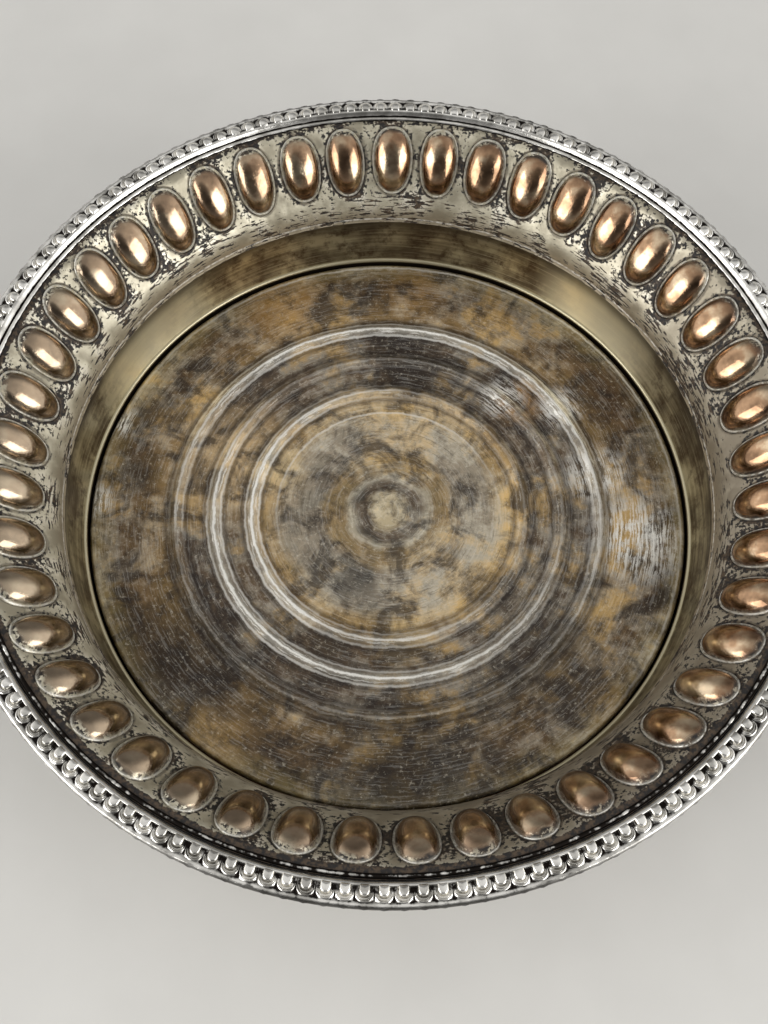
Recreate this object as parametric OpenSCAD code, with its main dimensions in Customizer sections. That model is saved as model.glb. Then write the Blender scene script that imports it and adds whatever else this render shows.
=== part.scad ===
// Wine bottle coaster of silver-plated copper. A flared gallery with a row of embossed oval
// lobes stands round a ringed floor plate on a turned wooden disc. A stamped tongue border in
// four soldered lengths and a half-round wire finish the rim, and baize lies under the base.
// +Z is up, the origin is on the table under the centre, and lengths are in millimetres.

/* [Floor plate] */
// Diameter of the ringed floor plate
floor_d = 118.8; // [112:0.2:126]
// Clear gap all round between the floor plate and the gallery
floor_gap = 0.6; // [0.5:0.1:1.4]
// Sheet thickness of the floor plate
floor_t = 0.7; // [0.5:0.05:1]
// Radius of the turned-down edge of the floor plate
floor_edge_r = 2; // [1.6:0.1:2.6]
// Radius of the innermost raised ring
inner_ring_r = 27.4; // [24:0.1:30]
// Spacing of the three raised rings
ring_step = 7.6; // [6:0.1:9]
// Width of each raised ring at its foot
ring_w = 3.6; // [2:0.1:4.4]
// Height of each raised ring
ring_rise = 0.75; // [0.3:0.05:1.2]
// Distance from the innermost raised ring in to the fine line
fine_ring_inset = 5; // [4:0.1:8]
// Width of the fine line
fine_ring_w = 1; // [0.6:0.1:1.6]
// Height of the fine line
fine_ring_rise = 0.15; // [0.1:0.05:0.3]
// Radius of the groove round the centre button
button_groove_r = 6; // [5:0.1:8]
// Width of the groove round the centre button
button_groove_w = 3; // [2:0.1:4]
// Depth of the groove round the centre button
button_groove_deep = 0.3; // [0.1:0.05:0.4]

/* [Base] */
// Thickness of the wooden disc above the foot flange
base_t = 5.3; // [4.5:0.1:9]
// Thickness of the baize under the base
baize_t = 1.2; // [0.8:0.1:2.5]
// Width of the foot flange that is turned in under the wooden disc
foot_flange_w = 6; // [3:0.5:10]
// Clearance of the wooden disc inside the gallery and the floor plate
base_gap = 0.2; // [0.1:0.05:0.4]
// Inset of the baize from the outside of the foot
baize_inset = 0.2; // [0:0.1:2]

/* [Gallery] */
// Sheet thickness of the gallery
sheet_t = 0.8; // [0.6:0.05:1]
// Height of the plain lower band above the floor plate
lower_h = 12.1; // [9:0.1:16]
// Outward flare of the lower band over its height
lower_flare = 2.2; // [1:0.1:4]
// Depth of the hollow curve of the lower band
cove_deep = 0.5; // [0:0.1:1]
// Height of the lip at the foot of the lower band above the floor plate
lip_h = 0.4; // [0.2:0.1:1]
// Width of the lip
lip_w = 0.5; // [0.2:0.1:1]
// Projection of the nosing line between the lower band and the lobed band
nosing = 0.35; // [0.1:0.05:0.6]
// Height of the nosing line
nosing_h = 1.2; // [0.8:0.1:2]
// Bend radius from the nosing line into the lobed band
bend_r = 8; // [5:0.5:12]
// Lean of the lobed band from upright
band_angle = 41.5; // [30:0.5:50]
// Width of the lobed band along its slope
band_l = 14; // [12:0.1:18]

/* [Lobes] */
// Number of embossed lobes
lobe_count = 45; // [36:1:48]
// Length of a lobe along the slope
lobe_l = 13.6; // [10:0.1:13.8]
// Height of a lobe above the sheet
lobe_rise = 2.3; // [1:0.1:2.8]

/* [Rim] */
// Distance from the top of the lobed band to the middle of the wire
wire_inset = 1.6; // [1.2:0.1:2.4]
// Width of the half-round wire
wire_w = 0.9; // [0.6:0.1:1.2]
// Gap between the wire and the border
wire_gap = 0.1; // [0.05:0.05:0.3]
// Width of the border from its inner edge to its plain lip
border_w = 4.5; // [4:0.1:5.5]
// Height of the border above the rim flange, over its tongues
border_h = 1.4; // [1.2:0.05:2]
// Width of the plain ridge along the inside of the border, with its flank
ridge_w = 1.3; // [1:0.1:1.8]
// Height of that ridge above the rim flange
ridge_h = 1.05; // [0.8:0.05:1.15]
// Height of the patterned ground above the rim flange
ground_h = 0.6; // [0.4:0.05:0.7]
// Height of a cup above the patterned ground
cup_h = 0.3; // [0.15:0.05:0.35]
// Thickness of the lip that hides the edge of the rim flange
lip_t = 0.6; // [0.4:0.05:0.9]
// Clearance between that lip and the edge of the rim flange
lip_gap = 0.1; // [0.05:0.05:0.2]
// Reach of the scallops past the lip
scallop_out = 0.3; // [0.1:0.05:0.6]
// Distance from the end of a scallop in to the end of its cup
cup_inset = 1.6; // [1:0.1:1.8]

/* [Hidden] */
$fn = 96;

// Numbers of tongues in the four lengths of border, and the angle of the first joint
border_tongues = [45, 45, 35, 35];
border_start = -74.25;
// Shares of the tongue pitch taken by a tongue, a cup and a scallop
tongue_share = 0.62;
cup_share = 0.79;
scallop_share = 0.96;
// Shares of the ridge's width where its flank is hollow, and where its crest begins and ends
flank_share = 0.4;
crest_share = 0.72;
crest_end_share = 0.84;
// Share of the ridge's height at the hollow of the flank
flank_rise_share = 0.36;
// Height of the underside of the scallops above the rim flange
scallop_low = 0.15;
// Turn of the row of lobes about the centre
lobe_turn = -0.6;
// Share of a lobe's place in the row that the lobe fills at its widest
lobe_w_share = 0.78;
// Shares of the half length at which a lobe is sectioned, and its half width where it begins
lobe_section_shares = [-1, -0.87, -0.5, 0, 0.5, 0.87, 1];
lobe_tip_share = 0.16;
// Share of the half width where the shoulder of a lobe lies, and how high the lobe is there
shoulder_share = 0.62;
shoulder_rise_share = 0.8;
// Share of its width by which the hollow behind a lobe is narrower than its face
hollow_share = 0.86;
// Shares of the cove's height at which it is sectioned
cove_shares = [0, 0.35, 0.7, 1];
// Overrun of a cut past the face it opens
cut_over = 1;
// Steps round a rounded edge, over the wire and over a floor ring
edge_steps = 6;
wire_steps = 8;
ring_steps = 8;
// Angle through which the edge of the wooden disc is rounded
crown_angle = 60;
// Plain sections of the gallery have two columns for each lobe, lobed ones have six
plain_columns = 2;
lobed_columns = 6;

flange_top_z = baize_t + sheet_t;
wood_top_z = flange_top_z + base_t;
floor_z = wood_top_z + floor_t;
floor_r = floor_d / 2;
foot_r = floor_r + floor_gap;
step_r = foot_r + lower_flare;
bend_z = floor_z + lower_h + nosing_h / 2;
band_start = [step_r + bend_r * (1 - cos(band_angle)), bend_z + bend_r * sin(band_angle)];
band_dir = [sin(band_angle), cos(band_angle)];
band_face = [-cos(band_angle), sin(band_angle)];
band_mid = band_start + band_dir * band_l / 2;
band_end = band_start + band_dir * band_l;
seat_z = band_end[1];
wire_r = band_end[0] + wire_inset;
border_r = wire_r + wire_w / 2 + wire_gap;
border_out_r = border_r + border_w;
rim_flange_r = border_out_r - lip_t - lip_gap;
tongue_count = border_tongues[0] + border_tongues[1] + border_tongues[2] + border_tongues[3];
tongue_pitch = 360 / tongue_count;
plain_n = lobe_count * plain_columns;

// Points on an arc about a centre, from one angle to another
function arc(centre, r, a0, a1, steps) = [
  for (i = [0:steps]) let (a = a0 + (a1 - a0) * i / steps)
    [centre[0] + r * cos(a), centre[1] + r * sin(a)]
];

// Points over a smooth ridge, or a groove where the rise is negative
function ridge(r, w, rise, z) = [
  for (i = [0:ring_steps]) let (u = 2 * i / ring_steps - 1)
    [r + u * w / 2, z + rise * (1 + cos(180 * u)) / 2]
];

// One face of the floor plate, from the centre to the start of its edge
function floor_face(z) = concat(
  [[0, z]],
  ridge(button_groove_r, button_groove_w, -button_groove_deep, z),
  ridge(inner_ring_r - fine_ring_inset, fine_ring_w, fine_ring_rise, z),
  ridge(inner_ring_r, ring_w, ring_rise, z),
  ridge(inner_ring_r + ring_step, ring_w, ring_rise, z),
  ridge(inner_ring_r + ring_step * 2, ring_w, ring_rise, z)
);

function reversed(list) = [for (i = [len(list) - 1:-1:0]) list[i]];

// The floor plate is spun with raised rings and a turned-down edge
module floor_plate() {
  edge_c = [floor_r - floor_edge_r, floor_z - floor_edge_r];
  top = concat(floor_face(floor_z), arc(edge_c, floor_edge_r, 90, 0, edge_steps));
  under = concat(
    floor_face(floor_z - floor_t),
    arc(edge_c, floor_edge_r - floor_t, 90, 0, edge_steps)
  );
  color("#8a7350") rotate_extrude() polygon(concat(top, reversed(under)));
}

// The wooden disc fits inside the foot, on its flange and under the floor plate
module base_disc() {
  edge_c = [floor_r - floor_edge_r, floor_z - floor_edge_r];
  crown_r = floor_edge_r - floor_t - base_gap;
  side_r = foot_r - base_gap * 2;
  plug_r = foot_r - foot_flange_w - base_gap;
  ledge_z = edge_c[1] - base_gap;
  color("#5b3220") rotate_extrude() polygon(concat(
    [[0, baize_t], [plug_r, baize_t], [plug_r, flange_top_z], [side_r, flange_top_z]],
    [[side_r, ledge_z], [edge_c[0] + crown_r, ledge_z]],
    arc(edge_c, crown_r, 0, crown_angle, edge_steps),
    [[edge_c[0], wood_top_z], [0, wood_top_z]]
  ));
}

// The baize covers the foot flange and the underside of the wooden disc
module baize_pad() {
  color("#2f5138") cylinder(h = baize_t, r = foot_r + sheet_t - baize_inset);
}

// A plain section of the gallery, as a ring of points
function plain_ring(p) = [
  for (i = [0:plain_n - 1]) let (a = 360 * i / plain_n)
    [p[0] * cos(a), p[0] * sin(a), p[1]]
];

// Where the six columns of a lobe lie, as shares of a lobe's place, and their heights
function column_shares(edge) = [
  -0.5, -edge, -edge * shoulder_share, 0, edge * shoulder_share, edge
];
column_rise_shares = [0, 0, shoulder_rise_share, 1, shoulder_rise_share, 0];

// A section through the lobes at a share of their half length, lowered by a depth
function lobed_ring(s, depth, w_share) =
  let (
    round_share = sqrt(max(0, 1 - s * s)),
    edge = w_share / 2 * max(lobe_tip_share, round_share),
    shares = column_shares(edge),
    foot = band_mid + band_dir * s * lobe_l / 2 - band_face * depth
  ) [
    for (i = [0:lobe_count - 1]) for (k = [0:lobed_columns - 1]) let (
      a = 360 * (i + 0.5 + shares[k]) / lobe_count,
      p = foot + band_face * lobe_rise * round_share * column_rise_shares[k]
    ) [p[0] * cos(a), p[0] * sin(a), p[1]]
  ];

// Triangles between two rings, where one may have several times the points of the other
function strip(a0, na, b0, nb) = na >= nb
  ? let (k = na / nb) [
      for (i = [0:nb - 1]) each concat(
        [for (j = [0:k - 1]) [a0 + i * k + j, b0 + i, a0 + (i * k + j + 1) % na]],
        [[b0 + i, b0 + (i + 1) % nb, a0 + (i + 1) * k % na]]
      )
    ]
  : let (k = nb / na) [
      for (i = [0:na - 1]) each concat(
        [for (j = [0:k - 1]) [a0 + i, b0 + i * k + j, b0 + (i * k + j + 1) % nb]],
        [[a0 + i, b0 + (i + 1) * k % nb, a0 + (i + 1) % na]]
      )
    ];

// The hollow curve of the lower band, moved out by a sheet thickness for its back
function cove(out) = [
  for (t = cove_shares) [
    foot_r + out + lip_w * (1 - t) + lower_flare * t + cove_deep * sin(180 * t),
    floor_z + lip_h + lip_w + (lower_h - lip_h - lip_w - nosing_h / 2) * t
  ]
];

// The gallery is one sheet: foot flange, lip, cove, nosing, lobed band and rim flange. Its
// section is followed round from the tip of the foot flange, up the face and down the back.
module gallery_wall() {
  bend_mid = [
    step_r + bend_r * (1 - cos(band_angle / 2)), bend_z + bend_r * sin(band_angle / 2)
  ];
  bend_face = [-cos(band_angle / 2), sin(band_angle / 2)];
  nose_z = floor_z + lower_h;
  face_low = concat(
    [[foot_r - foot_flange_w, flange_top_z], [foot_r, flange_top_z]],
    [[foot_r, floor_z + lip_h]],
    cove(0),
    [[step_r - nosing, nose_z], [step_r, bend_z], bend_mid]
  );
  rim = [
    band_end, [rim_flange_r, seat_z], [rim_flange_r, seat_z - sheet_t],
    [band_end[0] + sheet_t * tan((90 - band_angle) / 2), seat_z - sheet_t]
  ];
  back_low = concat(
    [bend_mid - bend_face * sheet_t, [step_r + sheet_t, bend_z]],
    [[step_r - nosing + sheet_t, nose_z]],
    reversed(cove(sheet_t)),
    [[foot_r + sheet_t, baize_t], [foot_r - foot_flange_w, baize_t]]
  );
  rings = concat(
    [for (p = face_low) plain_ring(p)],
    [for (s = lobe_section_shares) lobed_ring(s, 0, lobe_w_share)],
    [for (p = rim) plain_ring(p)],
    [for (s = reversed(lobe_section_shares)) lobed_ring(s, sheet_t, lobe_w_share * hollow_share)],
    [for (p = back_low) plain_ring(p)]
  );
  sizes = [for (ring = rings) len(ring)];
  starts = [for (i = 0, at = 0; i < len(sizes); at = at + sizes[i], i = i + 1) at];
  color("#b7ad98") rotate([0, 0, lobe_turn]) polyhedron(
    points = [for (ring = rings) each ring],
    faces = [
      for (i = [0:len(rings) - 1]) let (j = (i + 1) % len(rings))
        each strip(starts[i], sizes[i], starts[j], sizes[j])
    ]
  );
}

// The wire is half round and lies flat on the rim flange
module rim_wire() {
  color("#d8d4c6") rotate_extrude()
    polygon(arc([wire_r, seat_z], wire_w / 2, 0, 180, wire_steps));
}

// One pitch of the pattern: a scallop, a cup on it and a domed tongue in the cup
module tongue() {
  pitch = 2 * PI * border_out_r * tongue_pitch / 360;
  scallop_r = pitch * scallop_share / 2;
  cup_r = pitch * cup_share / 2;
  half_w = pitch * tongue_share / 2;
  centre_r = border_out_r + scallop_out - scallop_r;
  cup_at = border_out_r + scallop_out - cup_inset - cup_r;
  cup_top = ground_h + cup_h;
  dome_rise = border_h - cup_top;
  dome_r = (half_w * half_w + dome_rise * dome_rise) / (2 * dome_rise);
  dome_z = cup_top + dome_rise - dome_r;
  dome_end = cup_at - (cup_r - half_w) / 2;
  root_r = border_r + ridge_w * crest_share;
  translate([centre_r, 0, seat_z + scallop_low])
    cylinder(h = ground_h - scallop_low, r = scallop_r);
  translate([cup_at, 0, seat_z + scallop_low])
    cylinder(h = cup_top - scallop_low, r = cup_r);
  difference() {
    translate([root_r, 0, seat_z + dome_z]) {
      rotate([0, 90, 0]) cylinder(h = dome_end - root_r, r = dome_r);
      translate([dome_end - root_r, 0, 0]) sphere(dome_r);
    }
    translate([root_r - cut_over, -pitch, seat_z + scallop_low - dome_r * 2])
      cube([border_w + cut_over * 2, pitch * 2, dome_r * 2]);
  }
}

// One length of border, stamped with a plain ridge and a row of tongues in scalloped cups
module rim_border(index) {
  before = [for (k = 0, sum = 0; k <= index; sum = sum + border_tongues[k], k = k + 1) sum];
  ground = [border_r + ridge_w, seat_z + ground_h];
  rotate([0, 0, border_start + before[index] * tongue_pitch]) {
    rotate_extrude(angle = border_tongues[index] * tongue_pitch) polygon([
      [border_r, seat_z],
      [border_r + ridge_w * flank_share, seat_z + ridge_h * flank_rise_share],
      [border_r + ridge_w * crest_share, seat_z + ridge_h],
      [border_r + ridge_w * crest_end_share, seat_z + ridge_h],
      ground,
      [border_out_r, ground[1]],
      [border_out_r, seat_z - sheet_t],
      [border_out_r - lip_t, seat_z - sheet_t],
      [border_out_r - lip_t, seat_z]
    ]);
    for (i = [0:border_tongues[index] - 1])
      rotate([0, 0, (i + 0.5) * tongue_pitch]) tongue();
  }
}

module rim_border_1() {
  color("#dedbd0") rim_border(0);
}

module rim_border_2() {
  color("#cfccc2") rim_border(1);
}

module rim_border_3() {
  color("#dedbd0") rim_border(2);
}

module rim_border_4() {
  color("#cfccc2") rim_border(3);
}

floor_plate();
base_disc();
baize_pad();
gallery_wall();
rim_wire();
rim_border_1();
rim_border_2();
rim_border_3();
rim_border_4();
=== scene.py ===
"""A wine bottle coaster of silver-plated copper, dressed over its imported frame.

Every size is in millimetres and every height is from the table, as in the part's source. The
pieces are modelled in metres, in the frame's own axes.
"""

import logging
import math
import random
from dataclasses import dataclass
from enum import Enum
from functools import cached_property, partial
from typing import Callable, Sequence

import bmesh
import bpy
import numpy as np
from mathutils import Matrix, Vector, noise


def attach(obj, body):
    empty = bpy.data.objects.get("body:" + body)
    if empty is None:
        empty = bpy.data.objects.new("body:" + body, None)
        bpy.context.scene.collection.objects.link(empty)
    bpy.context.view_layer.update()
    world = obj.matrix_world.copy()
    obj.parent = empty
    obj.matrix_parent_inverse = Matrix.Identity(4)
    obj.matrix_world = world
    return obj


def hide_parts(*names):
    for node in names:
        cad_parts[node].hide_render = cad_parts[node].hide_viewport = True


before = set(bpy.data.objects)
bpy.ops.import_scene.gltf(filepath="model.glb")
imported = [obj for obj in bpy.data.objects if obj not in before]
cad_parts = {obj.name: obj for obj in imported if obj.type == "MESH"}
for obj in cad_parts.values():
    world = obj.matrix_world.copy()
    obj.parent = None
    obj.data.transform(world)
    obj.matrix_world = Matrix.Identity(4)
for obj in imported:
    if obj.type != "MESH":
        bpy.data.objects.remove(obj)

MM = 0.001
SEED = 45
# A point this near a place, in millimetres, is taken to lie on it
NEAR = 0.01
# Radius in millimetres of the hole that a spin leaves round the axis
POLE_R = 0.3
LOG = logging.getLogger("bottle_coaster")
Point = tuple[float, float]
Triple = tuple[float, float, float]
Piece = bpy.types.Object
Node = bpy.types.Node
Add = Callable[..., Node]


class Slot(Enum):
    """The record's material slots of the pieces made here."""

    FLOOR = "tarnished_floor_plate"
    BAIZE = "green_baize"
    GALLERY = "worn_silver_plate"
    WIRE = "bright_silver_wire"
    BORDER = "stamped_silver_border"


def deselect() -> None:
    """Leaves object mode with nothing selected."""
    if bpy.context.object and bpy.context.object.mode != "OBJECT":
        bpy.ops.object.mode_set(mode="OBJECT")
    bpy.ops.object.select_all(action="DESELECT")


def edit(piece: Piece) -> None:
    """Opens a piece in edit mode with all of it selected.

    Args:
        piece: The mesh to open.
    """
    deselect()
    piece.select_set(True)
    bpy.context.view_layer.objects.active = piece
    bpy.ops.object.mode_set(mode="EDIT")
    bpy.ops.mesh.select_mode(type="VERT")
    bpy.ops.mesh.select_all(action="SELECT")


def choose(test: Callable[[Vector], bool], among_chosen: bool = False) -> None:
    """Selects the points of the open piece by their place.

    Args:
        test: Says of a place, in millimetres, whether a point there is wanted.
        among_chosen: Keeps to the points that are selected already.
    """
    piece = bpy.context.object
    mesh = bmesh.from_edit_mesh(piece.data)
    for v in mesh.verts:
        v.select = (v.select or not among_chosen) and test(v.co / MM)
    mesh.select_flush_mode()
    bmesh.update_edit_mesh(piece.data)


def face_out() -> None:
    """Turns the faces of the open piece outwards and leaves all of it selected."""
    bpy.ops.mesh.select_all(action="SELECT")
    bpy.ops.mesh.normals_make_consistent(inside=False)


def draw_line(name: str, places: Sequence[Vector]) -> Piece:
    """Draws a line from point to point.

    Args:
        name: The piece's name.
        places: The points, in metres.

    Returns:
        The piece, open in edit mode with all of it selected.
    """
    deselect()
    bpy.ops.mesh.primitive_plane_add(size=MM, location=places[0])
    piece = bpy.context.object
    piece.name = name
    bpy.ops.object.transform_apply(location=True, rotation=True, scale=True)
    edit(piece)
    bpy.ops.mesh.merge(type="CENTER")
    for a, b in zip(places, places[1:]):
        bpy.ops.mesh.extrude_vertices_move(TRANSFORM_OT_translate={"value": b - a})
    bpy.ops.mesh.select_all(action="SELECT")
    return piece


def draw_section(name: str, points: Sequence[Point], azimuth: float = 0.0, closed: bool = True) -> Piece:
    """Draws a section from point to point, in the upright plane at an azimuth.

    Args:
        name: The piece's name.
        points: Radius and height of each corner.
        azimuth: Azimuth of the plane, in degrees.
        closed: Whether the last corner is joined to the first.

    Returns:
        The piece, open in edit mode with all of it selected.
    """
    c, s = math.cos(math.radians(azimuth)), math.sin(math.radians(azimuth))
    places = [Vector((r * c, r * s, z)) * MM for r, z in points]
    piece = draw_line(name, places)
    if closed:
        ends = [places[0] / MM, places[-1] / MM]
        choose(lambda p: min((p - e).length for e in ends) < NEAR / 10)
        bpy.ops.mesh.edge_face_add()
        bpy.ops.mesh.select_all(action="SELECT")
    return piece


def arc(centre: Point, r: float, start: float, end: float, cuts: int) -> list[Point]:
    """Lists points along an arc, from one angle to another.

    Args:
        centre: Radius and height of the middle of the arc.
        r: The arc's own radius.
        start: First angle in radians, from the way to the axis round over the top.
        end: Last angle.
        cuts: Number of points.

    Returns:
        Radius and height of each point.
    """
    return [(centre[0] - r * math.cos(a), centre[1] + r * math.sin(a))
            for a in np.linspace(start, end, cuts)]


def draw_rings(rings: Sequence[Triple]) -> None:
    """Draws the selected edge of the open piece out, ring by ring.

    Args:
        rings: Half width, half length and height of each ring, from the one where the edge is.
    """
    for (a, b, low), (wide, long_, high) in zip(rings, rings[1:]):
        bpy.ops.mesh.extrude_region_move()
        bpy.ops.transform.resize(value=(wide / a, long_ / b, 1), center_override=(0, 0, 0))
        bpy.ops.transform.translate(value=(0, 0, (high - low) * MM))


def cap_poles(level: float) -> None:
    """Closes the two holes that a spin left round the axis of the open piece.

    Args:
        level: A height between the two.
    """
    for upper in (False, True):
        choose(lambda p: math.hypot(p.x, p.y) < POLE_R + NEAR and (p.z > level) == upper)
        bpy.ops.mesh.edge_face_add()
    face_out()


def spin_round(steps: int, angle: float = 360.0) -> None:
    """Spins what is selected in the open piece about the upright axis.

    Args:
        steps: Number of steps.
        angle: Angle in degrees, anticlockwise from above.
    """
    bpy.ops.mesh.spin(
        steps=steps, angle=math.radians(angle), center=(0, 0, 0), axis=(0, 0, -1),
        use_auto_merge=angle >= 360.0,
    )
    bpy.ops.mesh.select_all(action="SELECT")
    bpy.ops.mesh.remove_doubles(threshold=2e-6)
    face_out()


def close_piece(piece: Piece, crease: float) -> Piece:
    """Leaves edit mode and smooths a piece but for its creases.

    Args:
        piece: The piece.
        crease: Angle in degrees past which an edge stays sharp.

    Returns:
        The piece.
    """
    deselect()
    piece.select_set(True)
    bpy.context.view_layer.objects.active = piece
    bpy.ops.object.shade_smooth_by_angle(angle=math.radians(crease))
    deselect()
    return piece


def copied(piece: Piece) -> Piece:
    """Returns a copy of a piece with a mesh of its own."""
    copy = piece.copy()
    copy.data = piece.data.copy()
    bpy.context.scene.collection.objects.link(copy)
    return copy


def joined(pieces: Sequence[Piece], name: str) -> Piece:
    """Joins pieces into one.

    Args:
        pieces: The pieces.
        name: Name of the whole.

    Returns:
        The whole, in object mode.
    """
    deselect()
    for p in pieces:
        p.select_set(True)
    bpy.context.view_layer.objects.active = pieces[0]
    bpy.ops.object.join()
    whole = bpy.context.object
    whole.name = name
    return whole


def places_of(piece: Piece) -> np.ndarray:
    """Returns the places of a piece's points, in millimetres, one row each."""
    co = np.zeros(len(piece.data.vertices) * 3)
    piece.data.vertices.foreach_get("co", co)
    return co.reshape(-1, 3) / MM


def lay(piece: Piece, places: np.ndarray) -> None:
    """Moves each point of a piece to its place in millimetres."""
    piece.data.vertices.foreach_set("co", (places * MM).ravel())
    piece.data.update()


def ramp(values: np.ndarray, start: float, over: float) -> np.ndarray:
    """Returns a share that goes from 0 to 1 as values go from a start over a distance."""
    return np.clip((values - start) / over, 0, 1)


def rough(places: np.ndarray, *humps: Triple) -> np.ndarray:
    """Returns smooth humps and hollows at each place.

    Args:
        places: Places in millimetres, one row each.
        *humps: Height, size in millimetres and seed of each kind of hump.

    Returns:
        The heights.
    """
    total = np.zeros(len(places))
    for height, grain, seed in humps:
        shift = Vector((seed * 7.1, seed * 3.3, seed * 1.7))
        total += height * np.array([noise.noise(Vector(p) / grain + shift) for p in places])
    return total


def widen(spots: np.ndarray, push: np.ndarray) -> np.ndarray:
    """Returns places moved away from the axis, each so many times as far."""
    return spots * np.stack([push, push, np.ones_like(push)], axis=1)


def hand_over(piece: Piece, finish: bpy.types.Material, node: str) -> None:
    """Dresses a piece, rides it on the frame in place of its CAD node and logs it.

    Args:
        piece: The finished piece.
        finish: Its material.
        node: The CAD node that it stands for.
    """
    piece.data.materials.append(finish)
    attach(piece, "root")
    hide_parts(node)
    triangles = sum(len(p.vertices) - 2 for p in piece.data.polygons)
    LOG.info("%s: %d triangles for %s", piece.name, triangles, node)


@dataclass
class Gallery:
    """The flared gallery: one sheet, embossed with a row of oval lobes over a hollow lower band."""

    floor_z: float = 8.0
    foot_r: float = 60.0
    flange_r: float = 54.0
    base_z: float = 1.2
    sheet_t: float = 0.8
    # The lower band: its foot and heel, lines across its wall below the floor, its lip round the
    # floor and its sagging cove up to the nosing
    foot_bend: float = 0.5
    heel: tuple[Point, ...] = ((0.0, 0.7), (-0.2, 0.25), (-0.7, 0.0))
    wall_cuts: Point = (2.0, 3.0)
    lip_low: float = 0.4
    lip_r: float = 0.5
    cove_z: float = 19.5
    sag: float = 0.5
    dented_z: Point = (9.5, 19.4)
    dents_over: float = 2.0
    step_r: float = 62.2
    nose_z: float = 20.1
    nosing: float = 0.35
    bend_z: float = 20.7
    bend_r: float = 8.0
    lean: float = 41.5
    band_l: float = 14.0
    rim_bend_r: float = 1.2
    rim_r: float = 79.235
    # Points along the face of the band, and how many of them lie below the rim flange
    samples: int = 900
    rising: int = 700
    # The way to a lobe's edge is found by halving this distance so many times
    farthest: float = 12.0
    halvings: int = 24
    lobes: int = 45
    first_lobe: float = 3.4
    dome_w: float = 7.3
    dome_l: float = 12.9
    rise: float = 2.3
    crown: Point = (2.4, 0.6)
    squareness: float = 2.25
    # One panel of the band: its grid, its ends and the rows past them up to the flange's edge
    columns: int = 10
    rows: int = 14
    low_v: float = -8.0
    high_v: float = 7.2
    low_rows: int = 8
    high_stops: tuple[float, ...] = (7.45, 7.7, 8.1, 8.7, 10.5)
    face_shares: tuple[float, ...] = (0.14, 0.3, 0.46, 0.6, 0.72, 0.82, 0.9, 0.96, 1.0)
    back_shares: tuple[float, ...] = (0.2, 0.5, 0.75, 0.92, 1.0)
    back_narrower: float = 0.55
    back_wider: float = 0.1
    # The groove, bead and groove round a lobe: distance out from its edge, and height
    outline: tuple[Point, ...] = (
        (0.08, -0.08), (0.16, 0.02), (0.27, 0.14), (0.37, 0.02), (0.48, -0.18), (0.6, 0.0)
    )
    # How far past its edge a lobe's errors reach, and over how much of that they fade
    errors_reach: Point = (0.95, 0.35)
    # Least and most of a lobe's error in width, length, tilt, rise, and place across and along
    errors: tuple[Point, ...] = (
        (-0.035, 0.03), (-0.025, 0.015), (-2.2, 2.2), (-0.07, 0.05), (-0.13, 0.13), (-0.12, 0.08)
    )
    # Height, size and seed of the dents, which are less on the ground between the lobes and fade
    # toward its two edges
    dents: tuple[Triple, ...] = ((0.03, 3.1, 1), (0.12, 8.0, 2))
    low_dents: Triple = (0.12, 11.0, 5)
    ground_dents: float = 0.6
    smooth_low: Point = (-12.5, 3.0)
    smooth_high: Point = (6.9, 1.2)

    @property
    def pitch(self) -> float:
        """Width of one lobe's place at the middle of the band."""
        start_r = self.step_r + self.bend_r * (1 - math.cos(math.radians(self.lean)))
        mid_r = start_r + math.sin(math.radians(self.lean)) * self.band_l / 2
        return math.tau * mid_r / self.lobes

    @cached_property
    def face(self) -> np.ndarray:
        """Follows the face of the sheet from the nosing up to the edge of the rim flange.

        Returns:
            Rows of distance from the middle of the band, radius, height and the face's normal.
        """
        lean, quarter = math.radians(self.lean), math.pi / 2
        line = [(self.step_r - self.nosing * math.cos(quarter * t) ** 2,
                 self.nose_z + (self.bend_z - self.nose_z) * t) for t in np.linspace(0, 1, 8)[:-1]]
        line += arc((self.step_r + self.bend_r, self.bend_z), self.bend_r, 0, lean, 41)
        start = np.array(line[-1])
        along = np.array([math.sin(lean), math.cos(lean)])
        flat = self.band_l - self.rim_bend_r * math.tan((quarter - lean) / 2)
        line += [tuple(start + along * flat * t) for t in np.linspace(0, 1, 60)[1:]]
        centre = start + along * flat + np.array([along[1], -along[0]]) * self.rim_bend_r
        line += arc(tuple(centre), self.rim_bend_r, lean, quarter, 12)[1:]
        line += [(r, line[-1][1]) for r in np.linspace(line[-1][0], self.rim_r, 20)[1:]]
        rz = np.array(line)
        s = np.concatenate([[0], np.cumsum(np.linalg.norm(np.diff(rz, axis=0), axis=1))])
        fine = np.linspace(0, s[-1], self.samples)
        r, z = np.interp(fine, s, rz[:, 0]), np.interp(fine, s, rz[:, 1])
        dr, dz = np.gradient(r), np.gradient(z)
        size = np.hypot(dr, dz)
        mid = np.interp(start[1] + along[1] * self.band_l / 2, z[:self.rising], fine[:self.rising])
        return np.stack([fine - mid, r, z, -dz / size, dr / size], axis=1)

    def edge_distance(self, x: np.ndarray, y: np.ndarray) -> np.ndarray:
        """Finds how far each place lies inside the edge of a dome; outside it is below nought.

        Args:
            x: Places across the panel in millimetres.
            y: Places along it, from the middle of the lobe.

        Returns:
            The distances in millimetres.
        """
        a, b = self.dome_w / 2, self.dome_l / 2
        low, high = np.zeros_like(x), np.full_like(x, self.farthest)
        for _ in range(self.halvings):
            mid = (low + high) / 2
            out = (x / (a + mid)) ** 2 + (y / (b + mid)) ** 2 > 1
            low, high = np.where(out, mid, low), np.where(out, high, mid)
        share = np.hypot(x / a, y / b)
        return np.where(share < 1, (1 - share) * a, -low)

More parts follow.
